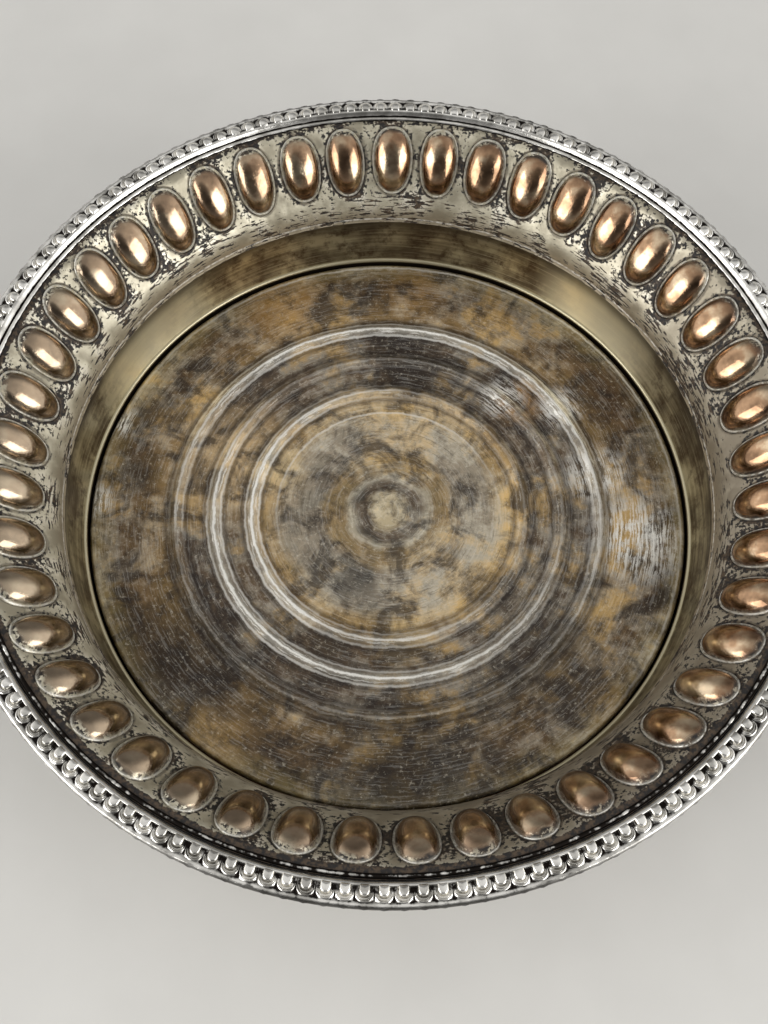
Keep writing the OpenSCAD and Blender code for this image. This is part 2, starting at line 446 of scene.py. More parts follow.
    def rings(self, narrower: float, drop: float, shares: Sequence[float]) -> list[Triple]:
        """Lists the oval rings of a dome from its crown to its edge.

        Args:
            narrower: How much less than the face's the half width and half length are.
            drop: How far below the face the edge lies.
            shares: Where the rings lie, as shares of the way from the crown to the edge.

        Returns:
            Half width, half length and height of each ring.
        """
        a, b = self.dome_w / 2 - narrower, self.dome_l / 2 - narrower
        full, round_ = self.crown
        return [(a * t, b * t, self.rise * (1 - t ** full) ** round_ - drop) for t in shares]

    def skin(self, name: str, rings: Sequence[Triple], cuts: int) -> Piece:
        """Models one skin of a flat panel, drawn out ring by ring and bridged to its four sides.

        Args:
            name: The piece's name.
            rings: Half width, half length and height of each ring, from the crown outwards.
            cuts: Number of rows between the last ring and the sides.

        Returns:
            The skin, open in edit mode.
        """
        deselect()
        bpy.ops.mesh.primitive_circle_add(
            vertices=2 * (self.columns + self.rows), radius=MM, fill_type="TRIFAN"
        )
        piece = bpy.context.object
        piece.name = name
        edit(piece)
        first, last = rings[0], rings[-1]
        bpy.ops.transform.resize(value=(first[0], first[1], 1), center_override=(0, 0, 0))
        bpy.ops.transform.translate(value=(0, 0, first[2] * MM))
        bpy.ops.mesh.region_to_loop()
        draw_rings(rings)
        middle = (self.low_v + self.high_v) / 2
        bpy.ops.mesh.primitive_grid_add(
            x_subdivisions=self.columns, y_subdivisions=self.rows, size=MM,
            location=(0, middle * MM, last[2] * MM),
        )
        bpy.ops.transform.resize(
            value=(self.pitch, self.high_v - self.low_v, 1), center_override=(0, middle * MM, 0)
        )

        def inside(p: Vector) -> bool:
            return (abs(p.x) < self.pitch / 2 - NEAR
                    and self.low_v + NEAR < p.y < self.high_v - NEAR)

        choose(inside, among_chosen=True)
        bpy.ops.mesh.delete(type="VERT")
        # The last ring's points lie on its oval but for this share
        off = 0.002
        choose(lambda p: not inside(p) or abs((p.x / last[0]) ** 2 + (p.y / last[1]) ** 2 - 1) < off)
        bpy.ops.mesh.bridge_edge_loops(number_cuts=cuts, interpolation="LINEAR")
        return piece

    def draw_edge(self, at_v: float, stops: Sequence[float], drop: float = 0.0) -> None:
        """Draws an edge of the open skin out along the sheet, and then down through it.

        Args:
            at_v: Where the edge lies along the panel.
            stops: Where it is drawn to, in turn.
            drop: How far it is drawn down at the end.
        """
        choose(lambda p: abs(p.y - at_v) < NEAR)
        for here, there in zip((at_v, *stops), stops):
            bpy.ops.mesh.extrude_region_move()
            bpy.ops.transform.translate(value=(0, (there - here) * MM, 0))
        if drop:
            bpy.ops.mesh.extrude_region_move()
            bpy.ops.transform.translate(value=(0, 0, -drop * MM))

    def panel(self) -> Piece:
        """Models one panel of the band, flat, with a face, a hollow back and two edges."""
        t, a, b = self.sheet_t, self.dome_w / 2, self.dome_l / 2
        low_stops = list(np.linspace(self.low_v, self.face[0, 0], self.low_rows + 1)[1:])
        high_stops = [*self.high_stops, self.face[-1, 0]]
        bead = [(a + out, b + out, h) for out, h in self.outline]
        back_edge = (a + self.back_wider, b + self.back_wider, -t)
        skins = []
        for name, rings, cuts, drop in (
            ("panel_face", self.rings(0, 0, self.face_shares) + bead, 2, t),
            ("panel_back", self.rings(self.back_narrower, t, self.back_shares) + [back_edge], 1, 0),
        ):
            skins.append(self.skin(name, rings, cuts))
            self.draw_edge(self.low_v, low_stops, drop)
            self.draw_edge(self.high_v, high_stops, drop)
        whole = joined(skins, "panel")
        edit(whole)
        bpy.ops.mesh.remove_doubles(threshold=1e-6)
        deselect()
        return whole

    def bend_panel(self, piece: Piece, index: int) -> None:
        """Lays a flat panel on the flare at its place in the row, with its maker's small errors.

        Args:
            piece: A copy of the flat panel.
            index: Its place in the row.
        """
        hand = random.Random(SEED + index)
        x, v, w = places_of(piece).T
        edge = self.edge_distance(x, v)
        for name, value in (("lobe_edge", edge), ("band_place", v)):
            piece.data.attributes.new(name, "FLOAT", "POINT")
            piece.data.attributes[name].data.foreach_set("value", value.astype(np.float32))
        # A lobe is a little squarer than an oval
        across, along = np.abs(x) / self.dome_w, np.abs(v) / self.dome_l
        share = np.maximum(np.hypot(across, along), 1e-6)
        n = self.squareness
        fuller = np.maximum((across / share) ** n + (along / share) ** n, 0.5) ** (-1 / n)
        wide, long_, tilt, high, dx, dv = (hand.uniform(*reach) for reach in self.errors)
        c, s = math.cos(math.radians(tilt)), math.sin(math.radians(tilt))
        hold = ramp(edge, -self.errors_reach[0], self.errors_reach[1])
        nx = (x * c - v * s) * (1 + wide) * fuller + dx
        nv = (x * s + v * c) * (1 + long_) * fuller + dv
        x, v = x + (nx - x) * hold, v + (nv - v) * hold
        w = np.where(edge > 0, w * (1 + high), w)
        fr, fz, tr, tz = (np.interp(v, self.face[:, 0], k) for k in self.face.T[1:])
        angle = np.radians(self.first_lobe + 360 / self.lobes * (index + x / self.pitch))
        spot = np.stack([fr * np.cos(angle), fr * np.sin(angle), fz], axis=1)
        free = ramp(v, *self.smooth_low) * ramp(-v, -self.smooth_high[0], self.smooth_high[1])
        dents = rough(spot, *self.dents)
        w = w + dents * free * np.where(edge > 0, 1.0, self.ground_dents)
        r, z = fr + tr * w, fz + tz * w
        lay(piece, np.stack([r * np.cos(angle), r * np.sin(angle), z], axis=1))

    def lobed_band(self) -> Piece:
        """Builds the embossed band from the nosing to the rim flange."""
        tile = self.panel()
        copies = [copied(tile) for _ in range(self.lobes)]
        for i, copy in enumerate(copies):
            self.bend_panel(copy, i)
        bpy.data.objects.remove(tile)
        band = joined(copies, "gallery_lobed_band")
        edit(band)
        bpy.ops.mesh.remove_doubles(threshold=1e-5)
        face_out()
        return close_piece(band, 50)

    def lower_band(self) -> Piece:
        """Spins the hollow lower band with its lip, its nosing and its turned-in foot."""
        t, f, foot, base = self.sheet_t, self.floor_z, self.foot_r, self.base_z
        low = f + self.lip_low
        lip_z = low + self.lip_r
        cove = [(foot + self.lip_r * (1 - k) + (self.step_r - foot) * k + self.sag * math.sin(math.pi * k),
                 lip_z + (self.cove_z - lip_z) * k) for k in np.linspace(0, 1, 18)]
        nose = [(self.step_r - self.nosing * math.sin(math.pi / 2 * k) ** 2,
                 self.cove_z + (self.nose_z - self.cove_z) * k) for k in np.linspace(0, 1, 6)[1:]]
        lip = arc((foot + self.lip_r, low), self.lip_r, 0, math.pi / 2, 6)
        face = [(self.flange_r, base), (self.flange_r, base + t), (foot - self.foot_bend, base + t),
                (foot, base + t + self.foot_bend), (foot, f - self.wall_cuts[0]), (foot, f),
                *lip, *cove[1:], *nose]
        back = [(r + t, z) for r, z in reversed(cove + nose)]
        back += [(foot + t, low), (foot + t, f - self.wall_cuts[1])]
        back += [(foot + t + x, base + z) for x, z in self.heel]
        band = draw_section("gallery_lower_band", face + back)
        spin_round(self.lobes * self.columns)
        deselect()
        spots = places_of(band)
        low_z, high_z = self.dented_z
        free = (ramp(spots[:, 2], low_z, self.dents_over)
                * ramp(-spots[:, 2], -high_z, self.dents_over))
        reach = np.hypot(spots[:, 0], spots[:, 1])
        lay(band, widen(spots, 1 + rough(spots, self.low_dents) * free / reach))
        return close_piece(band, 50)

    def build(self) -> None:
        """Builds and dresses both bands."""
        for piece, finish in (
            (self.lobed_band(), EmbossedPlate("embossed_silver_on_copper")),
            (self.lower_band(), SatinPlate("rubbed_silver_plate")),
        ):
            hand_over(piece, finish.build(), "gallery_wall")


@dataclass
class FloorPlate:
    """The spun floor plate: a centre button, a fine line, three raised rings, a round shoulder."""

    top_z: float = 8.0
    radius: float = 59.6
    thick: float = 0.7
    edge_r: float = 0.75
    ring_w: float = 3.6
    rise: float = 0.75
    rings: tuple[float, ...] = (27.4, 35.0, 42.6)
    # Radius, width and height of the button, the fine line and the shallow rises and hollows
    lines: tuple[Triple, ...] = (
        (22.4, 1.0, 0.15), (6.0, 3.0, -0.3), (0.0, 8.0, 0.12), (7.9, 1.4, 0.1), (31.2, 4.4, -0.12),
        (38.8, 4.4, -0.12), (12.6, 1.6, -0.1), (51.5, 13.0, 0.1), (45.2, 2.4, -0.08)
    )
    steps: int = 288
    face_cuts: int = 130
    back_cuts: int = 40
    edge_cuts: int = 9
    # Bottles have let the plate down a little, and dented it inside this radius
    sunk: float = 0.05
    dented_r: float = 57.0
    dents: tuple[Triple, ...] = ((0.05, 4.5, 11), (0.09, 16.0, 12))
    dents_over: float = 3.0

    def height(self, r: float) -> float:
        """Returns the height of the plate's face at a radius."""
        humps = [(at, self.ring_w, self.rise) for at in self.rings] + list(self.lines)
        near = [(abs(r - at) / (wide / 2), high) for at, wide, high in humps]
        return self.top_z + sum(high * (1 + math.cos(math.pi * u)) / 2 for u, high in near if u < 1)

    def plate(self) -> Piece:
        """Spins the plate and lets it down where years of bottles have stood."""
        flat_r, low = self.radius - self.edge_r, self.top_z - self.edge_r
        inner = self.edge_r - self.thick
        top, side = math.pi / 2, math.pi
        face = [(r, self.height(r)) for r in np.linspace(POLE_R, flat_r, self.face_cuts)]
        face += arc((flat_r, low), self.edge_r, top, side, self.edge_cuts)[1:]
        back = arc((flat_r, low), inner, side, top, self.edge_cuts)[:-1]
        back += [(r, self.height(r) - self.thick) for r in np.linspace(flat_r, POLE_R, self.back_cuts)]
        plate = draw_section("floor_plate_spun", face + back, closed=False)
        spin_round(self.steps)
        deselect()
        spots = places_of(plate)
        free = ramp(-np.hypot(spots[:, 0], spots[:, 1]), -self.dented_r, self.dents_over)
        spots[:, 2] += free * (rough(spots, *self.dents) - self.sunk)
        lay(plate, spots)
        edit(plate)
        cap_poles(self.top_z - self.thick / 2)
        return close_piece(plate, 60)

    def build(self) -> None:
        """Builds and dresses the plate."""
        hand_over(self.plate(), TarnishedFloor("tarnished_plate").build(), "floor_plate")


@dataclass
class Rim:
    """The rim: a half-round wire, and a stamped border in four soldered lengths."""

    seat_z: float = 36.486
    wire_r: float = 75.085
    wire_w: float = 0.9
    wire_dents: Triple = (0.03, 2.3, 21)
    border_r: float = 75.635
    out_r: float = 80.135
    scallop_r: float = 80.3
    root_r: float = 76.45
    sheet_t: float = 0.8
    lip_t: float = 0.6
    ground: float = 0.26
    tongues: tuple[int, ...] = (45, 45, 35, 35)
    start: float = -74.25
    # Section of the border, in heights over its seat: the ridge by its distance out from
    # border_r, its crest and fall out from root_r, and the roll by its distance in from out_r
    ridge: tuple[Point, ...] = ((0.0, 0.0), (0.07, 0.16), (0.26, 0.52), (0.5, 0.84), (0.66, 1.0))
    crest: tuple[Point, ...] = ((0.0, 1.06), (0.16, 1.07), (0.29, 1.0), (0.37, 0.7), (0.43, 0.26))
    roll: tuple[Point, ...] = (
        (1.2, 0.26), (0.95, 0.34), (0.66, 0.43), (0.38, 0.38), (0.15, 0.22), (0.03, 0.0),
        (0.0, -0.25), (0.0, -0.55), (0.1, -0.75), (0.25, -0.8)
    )
    # Half the outline of a tongue, from the middle of its round end back to its root
    bend: tuple[Point, ...] = (
        (0, 1), (0.36, 0.975), (0.66, 0.89), (0.88, 0.75), (1, 0.56), (0.99, 0.36), (0.93, 0.18),
        (0.86, 0)
    )
    # Half width, reach from the root and height of each line round the tongue
    lines: tuple[Triple, ...] = (
        (0.6, 1.64, 1.35), (0.78, 1.79, 1.26), (0.9, 1.89, 1.05), (0.97, 1.96, 0.7),
        (1.01, 2.0, 0.4), (1.09, 2.1, 0.44), (1.15, 2.17, 0.7), (1.22, 2.27, 0.7),
        (1.28, 2.35, 0.42), (1.34, 2.5, 0.38), (1.39, 2.6, 0.52), (1.45, 2.7, 0.5),
        (1.5, 2.82, 0.34)
    )
    crown: float = 0.04
    scallop_w: float = 0.6
    scallop_z: float = 0.02
    sole_z: float = 0.15
    # Degrees that a length stops short of the next at each end, and its steps for each tongue
    gap: float = 0.02
    bar_cuts: int = 3
    # The square recess beside a tongue: half width where it begins, its share of that at the
    # root, how far out it widens, its height over the ground, and where the cup takes over
    recess_w: float = 1.03
    recess_root: float = 0.86
    recess_l: float = 0.9
    recess_z: float = 0.03
    cup: Point = (1.2, 0.4)
    # A tongue leaves the ridge at this height and rises over this length
    root_z: float = 0.95
    root: Point = (-0.12, 0.5)
    # Above what height a tongue is worn down, by what share and how far it is set back at most,
    # what share solder takes from one at a joint, and how wide it is for its place
    worn_from: float = 0.5
    worn: float = 0.1
    set_back: float = 0.04
    blurred: float = 0.4
    overlap: float = 1.004

    @property
    def turn(self) -> float:
        """Angle from one tongue to the next, in degrees."""
        return 360 / sum(self.tongues)

    @property
    def pitch(self) -> float:
        """Width of one tongue's place at the outside of the border."""
        return math.tau * self.out_r / sum(self.tongues)

    def wire(self) -> Piece:
        """Models the wire from a ring, cut flat where it lies on the rim flange."""
        deselect()
        bpy.ops.mesh.primitive_torus_add(
            major_radius=self.wire_r * MM, minor_radius=self.wire_w / 2 * MM,
            major_segments=360, minor_segments=16, location=(0, 0, self.seat_z * MM),
        )
        piece = bpy.context.object
        piece.name = "rim_wire_round"
        bpy.ops.object.transform_apply(location=True, rotation=True, scale=True)
        edit(piece)
        bpy.ops.mesh.bisect(
            plane_co=(0, 0, (self.seat_z + NEAR) * MM), plane_no=(0, 0, 1), use_fill=False,
            clear_inner=True,
        )
        edit(piece)
        bpy.ops.mesh.select_all(action="DESELECT")
        bpy.ops.mesh.select_non_manifold()
        bpy.ops.mesh.bridge_edge_loops()
        face_out()
        deselect()
        spots = places_of(piece)
        spots[:, 2] += (spots[:, 2] > self.seat_z + 0.1) * rough(spots, self.wire_dents)
        lay(piece, spots)
        return close_piece(piece, 50)

    def tongue(self) -> Piece:
        """Models one pitch of the pattern, flat: a tongue, the cup round its end and a scallop."""
        wide, reach, high = self.lines[0]
        outline = [(-x, y) for x, y in reversed(self.bend)] + list(self.bend[1:])
        piece = draw_line("tongue", [Vector((x * wide, y * reach, high)) * MM for x, y in outline])
        half, end = self.pitch / 2, self.scallop_r - self.root_r
        draw_rings((*self.lines, (half, end - self.scallop_w, self.ground), (half, end, self.scallop_z)))
        choose(lambda p: abs(p.z - high) < NEAR / 10)
        bpy.ops.mesh.edge_face_add()
        bpy.ops.mesh.poke()
        # The crown is the point that poke adds, well inside the top
        choose(lambda p: abs(p.x) < NEAR and NEAR < p.y < reach * 0.9 and p.z > high - NEAR)
        bpy.ops.transform.translate(value=(0, 0, self.crown * MM))
        bpy.ops.mesh.select_all(action="DESELECT")
        bpy.ops.mesh.select_non_manifold()
        bpy.ops.mesh.extrude_region_move()
        bpy.ops.transform.resize(value=(1, 1, 0), center_override=(0, 0, self.sole_z * MM))
        bpy.ops.mesh.edge_face_add()
        face_out()
        deselect()
        flat = places_of(piece)
        x, y, z = flat.T
        # Beside the tongue the pattern sinks to a square recess; the tongue rises from the ridge
        begins = self.recess_root + (1 - self.recess_root) * ramp(y, 0.0, self.recess_l)
        low = self.ground + self.recess_z
        sunk = low + (z - low) * ramp(y, *self.cup)
        z = np.where((np.abs(x) > self.recess_w * begins) & (z > self.ground), sunk, z)
        risen = self.root_z + (z - self.root_z) * ramp(y, *self.root)
        flat[:, 2] = np.where(z > self.root_z, risen, z)
        lay(piece, flat)
        return piece

    def bar(self, index: int) -> Piece:
        """Spins the plain part of a length: its ridge, the ground of its pattern and its lip."""
        begin = self.start + self.turn * sum(self.tongues[:index])
        seat, inner = self.seat_z, self.out_r - self.lip_t
        section = [(self.border_r + x, seat + z) for x, z in self.ridge]
        section += [(self.root_r + x, seat + z) for x, z in self.crest]
        section += [(self.out_r - x, seat + z) for x, z in self.roll]
        section += [(inner, seat - self.sheet_t), (inner, seat)]
        bar = draw_section(f"bar_{index + 1}", section, begin + self.gap)
        bpy.ops.mesh.edge_face_add()
        count = self.tongues[index]
        spin_round(count * self.bar_cuts, count * self.turn - 2 * self.gap)
        return bar

    def length(self, index: int, tongue: Piece) -> Piece:
        """Builds one length of border from its bar and its row of tongues.

        Args:
            index: Which of the four lengths.
            tongue: One flat pitch of the pattern.

        Returns:
            The length of border.
        """
        begin = self.start + self.turn * sum(self.tongues[:index])
        parts = [close_piece(self.bar(index), 35)]
        x, y, high = places_of(tongue).T
        low = self.worn_from
        for k in range(self.tongues[index]):
            hand = random.Random(SEED * 100 + index * 50 + k)
            copy = copied(tongue)
            joint = k in (0, self.tongues[index] - 1)
            lift = 1 + hand.uniform(-self.worn, 0.0) - (self.blurred if joint else 0.0)
            angle = np.radians(begin + self.turn * (k + 0.5 - x / self.pitch * self.overlap))
            r = self.root_r + y + hand.uniform(-self.set_back, 0.0)
            z = self.seat_z + np.where(high > low, low + (high - low) * lift, high)
            lay(copy, np.stack([r * np.cos(angle), r * np.sin(angle), z], axis=1))
            parts.append(close_piece(copy, 60))
        return joined(parts, f"border_length_{index + 1}")

    def build(self) -> None:
        """Builds and dresses the four lengths of border and the wire."""
        silver = BrightSilver("stamped_silver").build()
        tongue = self.tongue()
        for i in range(len(self.tongues)):
            hand_over(self.length(i, tongue), silver, f"rim_border_{i + 1}")
        bpy.data.objects.remove(tongue)
        drawn = BrightSilver("drawn_silver_wire", low_z=36.9, high_z=37.0, far_side_highlight=0.22)
        hand_over(self.wire(), drawn.build(), "rim_wire")


@dataclass
class Underside:
    """What the coaster stands on: the baize, under a wooden disc that the foot hides."""

    radius: float = 60.6
    thick: float = 1.2
    # Lines round the face, then the two edges: in from the outside, and in from each face
    cuts: Point = (20.0, 40.0)
    lower_edge: tuple[Point, ...] = ((1.0, 0.0), (0.3, 0.08), (0.0, 0.35))
    upper_edge: tuple[Point, ...] = ((0.0, 0.35), (0.2, 0.0), (1.0, 0.0))
    # Height, size and seed of the raggedness, and how far in it reaches
    ragged: Triple = (0.25, 3.0, 31)
    ragged_w: float = 1.2

    def baize(self) -> Piece:
        """Spins the disc of baize with soft edges and cuts its outline by hand."""
        r, t = self.radius, self.thick
        section = [(POLE_R, 0), *((x, 0) for x in self.cuts)]
        section += [(r - x, z) for x, z in self.lower_edge]
        section += [(r - x, t - z) for x, z in self.upper_edge] + [(self.cuts[1], t), (POLE_R, t)]
        pad = draw_section("baize_disc", section, closed=False)
        spin_round(240)
        cap_poles(t / 2)
        deselect()
        spots = places_of(pad)
        reach = np.hypot(spots[:, 0], spots[:, 1])
        cut = np.abs(rough(spots, self.ragged)) * (reach > r - self.ragged_w)
        lay(pad, widen(spots, 1 - cut / np.maximum(reach, 1)))
        return close_piece(pad, 70)

    def build(self) -> None:
        """Builds and dresses the baize, and dresses the wooden disc."""
        pad = self.baize()
        hand_over(pad, Baize("green_wool_baize").build(), "baize_pad")
        wood = TurnedWood("stained_turned_wood").build()
        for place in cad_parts["base_disc"].material_slots:
            place.material = wood


def linear(code: str) -> tuple[float, float, float, float]:
    """Turns an sRGB hex colour, six digits after a hash, into linear red, green, blue and one."""
    parts = [int(code[i:i + 2], 16) / 255 for i in (1, 3, 5)]
    return tuple(c / 12.92 if c <= 0.04045 else ((c + 0.055) / 1.055) ** 2.4 for c in parts) + (1.0,)


# What the second word of a node's kind sets
CHOICES = {"Math": "operation", "VectorMath": "operation", "Mix": "data_type",
           "MapRange": "interpolation_type", "TexVoronoi": "feature"}


def add_node(
    tree: bpy.types.NodeTree, kind: str, *values: object, stops: Sequence[tuple[float, str]] = (),
    **named: object,
) -> Node:
    """Adds one node with its settings, its links and, for a colour ramp, its stops.

    Args:
        tree: The material's node tree.
        kind: The node's type, without its ShaderNode beginning, and its operation or the like.
        *values: A value, a hex colour, a socket or a node for each live input in turn.
        stops: Place and hex colour of each stop.
        **named: Inputs by their names, and the node's own settings.

    Returns:
        The node.
    """
    kind, _, choice = kind.partition(" ")
    made = tree.nodes.new("ShaderNode" + kind)
    if choice:
        setattr(made, CHOICES[kind], choice)
    given = list(zip([s for s in made.inputs if s.enabled], values))
    for name, value in named.items():
        if name in made.inputs:
            given.append((made.inputs[name], value))
        else:
            setattr(made, name, value)
    for socket, value in given:
        if isinstance(value, bpy.types.Node):
            value = next(s for s in value.outputs if s.enabled)
        if isinstance(value, bpy.types.NodeSocket):
            tree.links.new(value, socket)
        else:
            socket.default_value = linear(value) if isinstance(value, str) else value
    for i, (place, code) in enumerate(stops):
        elements = made.color_ramp.elements
        stop = elements[i] if i < 2 else elements.new(place)
        stop.position, stop.color = place, linear(code)
    return made


@dataclass(frozen=True)
class Finish:
    """A procedural finish, named for its real material."""

    name: str

    def build(self) -> bpy.types.Material:
        """Makes the material."""
        made = bpy.data.materials.new(self.name)
        made.use_nodes = True
        made.node_tree.nodes.clear()
        add = partial(add_node, made.node_tree)
        mm = add("VectorMath SCALE", add("TexCoord").outputs["Object"], 1 / MM)
        add("OutputMaterial", add("BsdfPrincipled", **self.surface(add, mm)))
        return made

    def surface(self, add: Add, mm: Node) -> dict[str, object]:
        """Works out what the surface shader gets.

        Args:
            add: Adds a node to the material.
            mm: The piece's own place in millimetres.

        Returns:
            A value, a socket or a node for each of the shader's inputs, by its name.
        """
        raise NotImplementedError

    def facing(self, add: Add, mm: Node, azimuth: float) -> Node:
        """Adds the cosine of the angle between a point's way out from the axis and an azimuth.

        Args:
            add: Adds a node to the material.
            mm: The piece's own place in millimetres.
            azimuth: The azimuth in degrees.

        Returns:
            The node that gives the cosine.
        """
        way = add("VectorMath NORMALIZE", add("VectorMath MULTIPLY", mm, (1, 1, 0)))
        turn = math.radians(azimuth)
        return add("VectorMath DOT_PRODUCT", way, (math.cos(turn), math.sin(turn), 0.0))

    def line(self, add: Add, value: object, at: float, half: Point, level: float = 1.0) -> Node:
        """Adds a soft line where a value is near a level.

        Args:
            add: Adds a node to the material.
            value: What the line follows.
            at: The value at the middle of the line.
            half: How far off the line begins to fade, and how far off it is gone.
            level: Strength of the line.

        Returns:
            The node that gives the line.
        """
        off = add("Math ABSOLUTE", add("Math ADD", value, -at))
        return add("MapRange", off, *half, level, 0.0)


@dataclass(frozen=True)
class EmbossedPlate(Finish):
    """Silver plate over copper, embossed: polished through to the copper on every lobe, cream
    where silver is left, crackled and black with tarnish in the hollows round the lobes. Painted
    shade browns each lobe's foot and darkens the groove round it and the near side of the rim
    flange, and a painted highlight runs along the nosing."""

    silver: tuple[str, str, str] = ("#968F7C", "#BDB6A1", "#DAD4C3")
    copper: tuple[str, str, str] = ("#7A604A", "#AB8A6C", "#DCC6A6")
    # Brown of the painted shade at the foot of each lobe
    plated: str = "#A0937F"
    lobe_foot_shade: str = "#5A4234"
    tarnish: tuple[str, str] = ("#15110E", "#483A2B")
    bead: str = "#E6E3DA"
    nose: str = "#8F826C"
    aged: str = "#75695A"

    def surface(self, add: Add, mm: Node) -> dict[str, object]:
        """Works out what the surface shader gets, as in Finish."""
        edge = add("Attribute", attribute_name="lobe_edge").outputs["Fac"]
        place = add("Attribute", attribute_name="band_place").outputs["Fac"]
        # Patches of some 6 mm, specks of 0.8 mm, and flat rows of specks 0.3 mm high
        patches = add("TexNoise", mm, 1 / 6, 4.0)
        specks = add("TexNoise", mm, 1 / 0.8, 5.0, 0.65)
        drawn = add("VectorMath MULTIPLY", mm, (1 / 2.2, 1 / 2.2, 1 / 0.36))
        rows = add("TexNoise", drawn, 1.0, 5.0)
        grain = add("Mix FLOAT", add("MapRange", place, -6.0, -8.0), specks, rows)
        # Tarnish gathers outside each bead and on the rim flange; on the flange it is stronger on the near
        # side, and that extra darkening is painted shade
        hollow = add("MapRange", edge, -0.5, -1.9, 0.09, 0.0)
        gather = add("Math MULTIPLY_ADD", patches, 0.7, hollow)
        flange = add("MapRange", place, 6.9, 7.5, 0.0, 0.4)
        near = add("MapRange", self.facing(add, mm, -90.0), -0.7, 0.3, 0.3, 1.0)
        flange = add("Math MULTIPLY", flange, near)
        # One side of the band is browner, and blacker between its lobes
        aged = add("MapRange", self.facing(add, mm, -25.0), 0.0, 0.85, 0.0, 0.65)
        flange = add("Math MULTIPLY_ADD", aged, 0.05, flange)
        for more in (flange, grain):
            gather = add("Math ADD", gather, more)
        speck = add("MapRange SMOOTHSTEP", gather, 0.905, 0.94)
        # The plate is crackled in cells of some 2 mm
        warp = add("TexNoise", mm, 1 / 1.6, 4.0).outputs["Color"]
        warp = add("VectorMath MULTIPLY_ADD", warp, (2.4, 2.4, 2.4), mm)
        crack = add("MapRange", add("TexVoronoi DISTANCE_TO_EDGE", warp, 1 / 2.1), 0.02, 0.08, 0.95, 0.0)
        cracked = add("MapRange", add("Math MULTIPLY_ADD", grain, 0.9, patches), 0.92, 1.0)
        speck = add("Math MAXIMUM", speck, add("Math MULTIPLY", crack, cracked))
        # The bead is left bright; outside it a dark groove, of tarnish and painted shade, comes and goes
        broken = add("MapRange", specks, 0.4, 0.54, 0.2, 1.0)
        bead = add("Math MULTIPLY", self.line(add, edge, -0.18, (0.09, 0.27)), broken)
        speck = add("Math SUBTRACT", speck, bead, use_clamp=True)
        uneven = add("Math ADD", edge, add("Math MULTIPLY_ADD", specks, 0.9, -0.45))
        shady = add("MapRange", patches, 0.4, 0.56, 0.45, 1.0)
        groove = add("Math MULTIPLY", self.line(add, uneven, -0.75, (0.12, 0.36)), shady)
        dark = add("Math MAXIMUM", speck, groove)
        # The copper's edge wanders, and its outer tip keeps some silver
        wander = add("Math MULTIPLY_ADD", add("TexNoise", mm, 1 / 2.2, 4.0), 1.2, -0.6)
        wander = add("Math ADD", edge, wander)
        wander = add("Math ADD", wander, add("MapRange", place, 4.6, 6.6, 0.0, -0.3))
        bare = add("MapRange", wander, -0.05, 0.4)
        # The silver dulls toward the nosing, and a painted highlight, as bright as the beads, runs along
        # the nosing's line
        silver = add("ValToRGB", patches, stops=tuple(zip((0.36, 0.5, 0.62), self.silver)))
        nosing_highlight = add("Math MULTIPLY", self.line(add, place, -12.7, (0.1, 0.3)), broken)
        for part, code in (
            (aged, self.aged), (add("MapRange", place, -9.0, -12.6, 0.0, 0.7), self.nose),
            (add("Math MAXIMUM", bead, nosing_highlight), self.bead),
        ):
            silver = add("Mix RGBA", part, silver, code)
        tarnish = add("ValToRGB", specks, stops=((0.42, self.tarnish[1]), (0.56, self.tarnish[0])))
        # Painted shade browns the copper toward the lobe's foot, and one side of the row kept a breath of
        # silver over it
        mottle = add("TexNoise", mm, 1 / 4.5, 4.0)
        copper = add("ValToRGB", mottle, stops=tuple(zip((0.34, 0.5, 0.66), self.copper)))
        film = add("Math MULTIPLY_ADD", mottle, 1.2, self.facing(add, mm, 205.0))
        for part, code in (
            (add("MapRange", edge, 1.4, 0.2, 0.0, 0.6), self.lobe_foot_shade),
            (add("MapRange", film, 0.2, 1.6, 0.0, 0.75), self.plated),
        ):
            copper = add("Mix RGBA", part, copper, code)
        polish = add("MapRange", mottle, 0.3, 0.7, 0.09, 0.2)
        # Small dents of some 2 mm on the silver, and the depth of the tarnished pits
        height = add("Math MULTIPLY_ADD", speck, -0.3, add("TexNoise", mm, 1 / 2.2, 2.0))
        return {
            "Base Color": add("Mix RGBA", bare, add("Mix RGBA", dark, silver, tarnish), copper),
            "Metallic": add("Mix FLOAT", bare, add("Mix FLOAT", dark, 0.6, 0.2), 1.0),
            "Roughness": add("Mix FLOAT", bare, add("Mix FLOAT", dark, 0.4, 0.6), polish),
            "Normal": add("Bump", Strength=add("Mix FLOAT", bare, 0.4, 0.1), Distance=0.3 * MM,
                          Height=height),
        }


